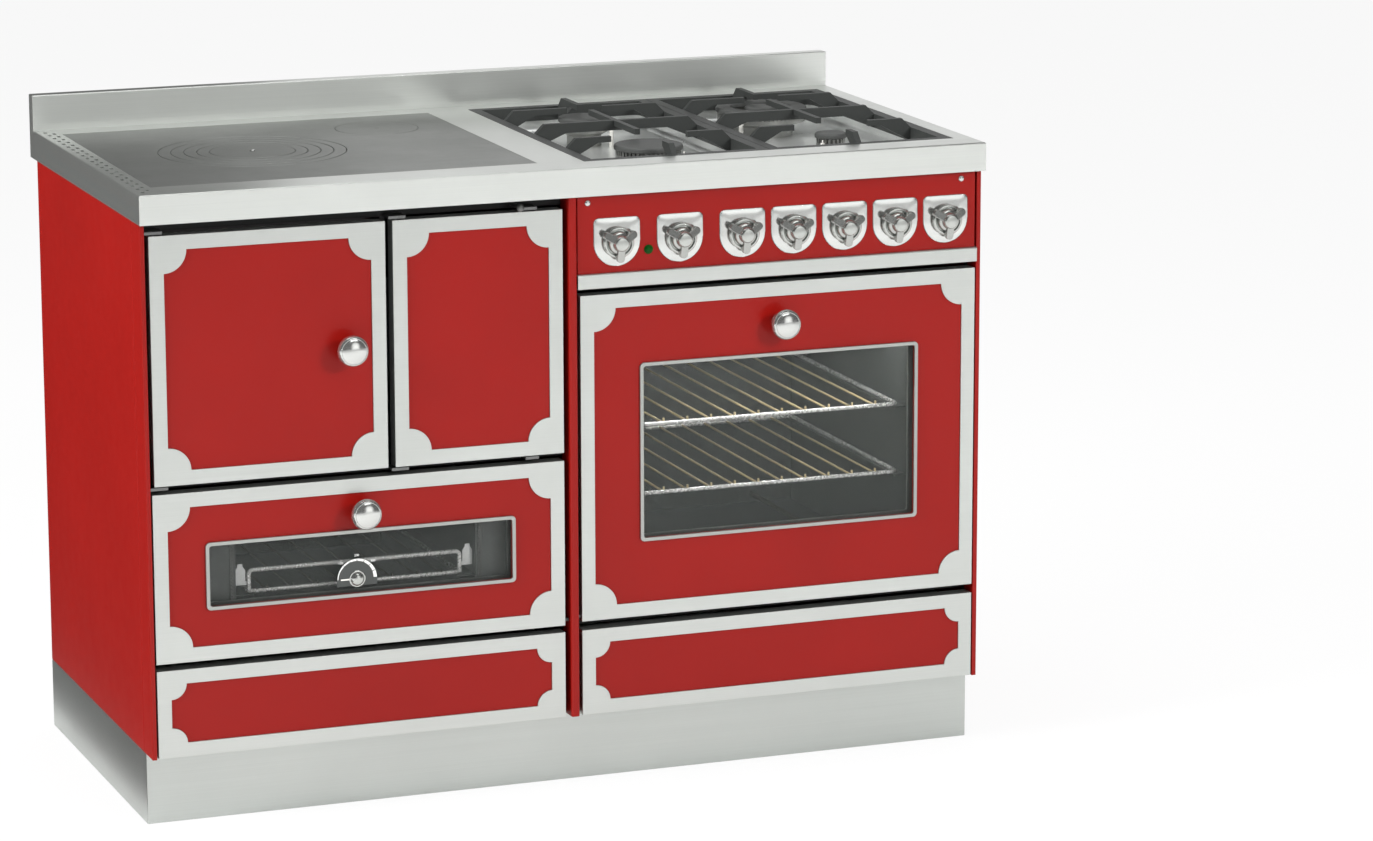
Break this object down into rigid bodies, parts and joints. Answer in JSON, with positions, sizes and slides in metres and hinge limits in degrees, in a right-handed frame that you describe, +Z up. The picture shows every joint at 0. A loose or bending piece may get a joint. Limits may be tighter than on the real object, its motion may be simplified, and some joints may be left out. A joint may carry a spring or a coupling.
{
  "type": "range cooker",
  "caption": "Double range cooker: a wood-fired side with firebox, flue door, oven and ringed hotplate, and a gas hob with knobs over a windowed electric oven, on a plinth.",
  "frame": {"origin": "on the floor, under the centre of the overall box of the cooker", "axes": "+X to the right seen from the front, +Y to the back, +Z up"},
  "size_m": [1.2, 0.643, 0.91],
  "materials": {
    "red_enamel": "glossy vitreous enamel",
    "door_steel": "satin stainless sheet",
    "worktop_steel": "fine brushed stainless",
    "plinth_steel": "brushed stainless",
    "polished_steel": "polished",
    "zinc_plated_steel": "zinc plated",
    "black_carcass": "matt black",
    "ground_cast_plate": "ground and blued",
    "raw_cast_iron": "as cast",
    "firebrick": "dry vermiculite",
    "cavity_enamel": "speckled vitreous enamel",
    "chrome_wire": "bright",
    "element_sheath": "oxidised",
    "glass_rope": "woven",
    "hob_steel": "bright pressed stainless",
    "burner_aluminium": "cast",
    "black_cap_enamel": "matt enamel",
    "ceramic": "glazed",
    "brass": "turned",
    "black_plastic": "moulded",
    "green_lens": "clear tinted",
    "grid_cast_iron": "satin enamelled",
    "dial_face": "satin with printed scale",
    "door_glass": "clear toughened",
    "knob_satin_chrome": "satin plated"
  },
  "bodies": {
    "cooker": {"ash_pan": "zinc_plated_steel", "back_panel": "zinc_plated_steel", "burner_bodies": "burner_aluminium", "burner_caps": "black_cap_enamel", "carcass": "black_carcass", "control_panel": "red_enamel", "control_panel_trim": "polished_steel", "door_seals": "glass_rope", "electric_controls": "black_plastic", "firebox_body": "raw_cast_iron", "firebricks": "firebrick", "gas_supply": "brass", "heating_elements": "element_sheath", "hinge_pins_and_brackets": "zinc_plated_steel", "hob_pan": "hob_steel", "hotplate": "ground_cast_plate", "igniters": "ceramic", "levelling_feet": "zinc_plated_steel", "oven_cavity": "cavity_enamel", "oven_racks": "chrome_wire", "pilot_lamp": "green_lens", "plinth": "plinth_steel", "side_panels_and_posts": "red_enamel", "wood_oven_cavity": "cavity_enamel", "worktop": "worktop_steel"},
    "firebox_door": {"firebox_door_frame": "door_steel", "firebox_door_panel": "red_enamel", "firebox_door_knob": "polished_steel"},
    "flue_door": {"flue_door_frame": "door_steel", "flue_door_panel": "red_enamel"},
    "wood_oven_door": {"wood_oven_door_frame": "door_steel", "wood_oven_door_panel": "red_enamel", "wood_oven_door_glass": "door_glass", "wood_oven_door_knob": "polished_steel", "thermometer_dial": "dial_face"},
    "thermometer_needle": {"thermometer_pointer": "dial_face"},
    "oven_door": {"oven_door_frame": "door_steel", "oven_door_panel": "red_enamel", "oven_door_glass": "door_glass", "oven_door_knob": "polished_steel"},
    "left_drawer": {"left_drawer_body": "door_steel", "left_drawer_panel": "red_enamel"},
    "right_drawer": {"right_drawer_body": "door_steel", "right_drawer_panel": "red_enamel"},
    "damper": {"flue_damper": "zinc_plated_steel"},
    "oven_selector_control": {"oven_selector_knob": "knob_satin_chrome"},
    "oven_thermostat_control": {"oven_thermostat_knob": "knob_satin_chrome"},
    "oven_timer_control": {"oven_timer_knob": "knob_satin_chrome"},
    "gas_tap_1": {"gas_knob_1": "knob_satin_chrome"},
    "gas_tap_2": {"gas_knob_2": "knob_satin_chrome"},
    "gas_tap_3": {"gas_knob_3": "knob_satin_chrome"},
    "gas_tap_4": {"gas_knob_4": "knob_satin_chrome"},
    "ring_4": {"hob_ring_4": "ground_cast_plate"},
    "ring_3": {"hob_ring_3": "ground_cast_plate"},
    "ring_2": {"hob_ring_2": "ground_cast_plate"},
    "ring_1": {"hob_ring_1": "ground_cast_plate"},
    "centre_disc": {"hob_disc": "ground_cast_plate"},
    "rear_disc": {"rear_hob_disc": "ground_cast_plate"},
    "left_grid_body": {"left_grid": "grid_cast_iron"},
    "right_grid_body": {"right_grid": "grid_cast_iron"}
  },
  "joints": [
    {"name": "firebox_door_swing", "type": "hinge", "parent": "cooker", "child": "firebox_door", "pos_m": [-0.579, -0.281, 0.63675], "axis": [0, 0, -1], "range_deg": [0, 105]},
    {"name": "flue_door_swing", "type": "hinge", "parent": "cooker", "child": "flue_door", "pos_m": [-0.2471, -0.281, 0.63675], "axis": [0, 0, -1], "range_deg": [0, 105]},
    {"name": "wood_oven_door_drop", "type": "hinge", "parent": "cooker", "child": "wood_oven_door", "pos_m": [-0.30265, -0.279, 0.2345], "axis": [1, 0, 0], "range_deg": [0, 90]},
    {"name": "thermometer_needle_turn", "type": "hinge", "parent": "wood_oven_door", "child": "thermometer_needle", "pos_m": [-0.30965, -0.2845, 0.3204], "axis": [0, 1, 0], "range_deg": [0, 180]},
    {"name": "oven_door_drop", "type": "hinge", "parent": "cooker", "child": "oven_door", "pos_m": [0.29925, -0.279, 0.2374], "axis": [1, 0, 0], "range_deg": [0, 90]},
    {"name": "left_drawer_slide", "type": "slide", "parent": "cooker", "child": "left_drawer", "axis": [0, -1, 0], "range_m": [0, 0.35]},
    {"name": "right_drawer_slide", "type": "slide", "parent": "cooker", "child": "right_drawer", "axis": [0, -1, 0], "range_m": [0, 0.35]},
    {"name": "flue_damper_slide", "type": "slide", "parent": "cooker", "child": "damper", "axis": [0, -1, 0], "range_m": [0, 0.09]},
    {"name": "oven_selector_turn", "type": "hinge", "parent": "cooker", "child": "oven_selector_control", "pos_m": [0.0615, -0.292, 0.755], "axis": [0, 1, 0], "range_deg": [0, 315]},
    {"name": "oven_thermostat_turn", "type": "hinge", "parent": "cooker", "child": "oven_thermostat_control", "pos_m": [0.1523, -0.292, 0.755], "axis": [0, 1, 0], "range_deg": [0, 270]},
    {"name": "oven_timer_turn", "type": "hinge", "parent": "cooker", "child": "oven_timer_control", "pos_m": [0.2431, -0.292, 0.755], "axis": [0, 1, 0], "range_deg": [0, 330]},
    {"name": "gas_tap_1_turn", "type": "hinge", "parent": "cooker", "child": "gas_tap_1", "pos_m": [0.3183, -0.292, 0.755], "axis": [0, -1, 0], "range_deg": [0, 230]},
    {"name": "gas_tap_2_turn", "type": "hinge", "parent": "cooker", "child": "gas_tap_2", "pos_m": [0.3935, -0.292, 0.755], "axis": [0, -1, 0], "range_deg": [0, 230]},
    {"name": "gas_tap_3_turn", "type": "hinge", "parent": "cooker", "child": "gas_tap_3", "pos_m": [0.4687, -0.292, 0.755], "axis": [0, -1, 0], "range_deg": [0, 230]},
    {"name": "gas_tap_4_turn", "type": "hinge", "parent": "cooker", "child": "gas_tap_4", "pos_m": [0.5439, -0.292, 0.755], "axis": [0, -1, 0], "range_deg": [0, 230]},
    {"name": "ring_4_lift", "type": "slide", "parent": "cooker", "child": "ring_4", "axis": [0, 0, 1], "range_m": [0, 0.06]},
    {"name": "ring_3_lift", "type": "slide", "parent": "ring_4", "child": "ring_3", "axis": [0, 0, 1], "range_m": [0, 0.06]},
    {"name": "ring_2_lift", "type": "slide", "parent": "ring_3", "child": "ring_2", "axis": [0, 0, 1], "range_m": [0, 0.06]},
    {"name": "ring_1_lift", "type": "slide", "parent": "ring_2", "child": "ring_1", "axis": [0, 0, 1], "range_m": [0, 0.06]},
    {"name": "centre_disc_lift", "type": "slide", "parent": "ring_1", "child": "centre_disc", "axis": [0, 0, 1], "range_m": [0, 0.06]},
    {"name": "rear_disc_lift", "type": "slide", "parent": "cooker", "child": "rear_disc", "axis": [0, 0, 1], "range_m": [0, 0.06]},
    {"name": "left_grid_lift", "type": "slide", "parent": "cooker", "child": "left_grid_body", "axis": [0, 0, 1], "range_m": [0, 0.08]},
    {"name": "right_grid_lift", "type": "slide", "parent": "cooker", "child": "right_grid_body", "axis": [0, 0, 1], "range_m": [0, 0.08]}
  ]
}
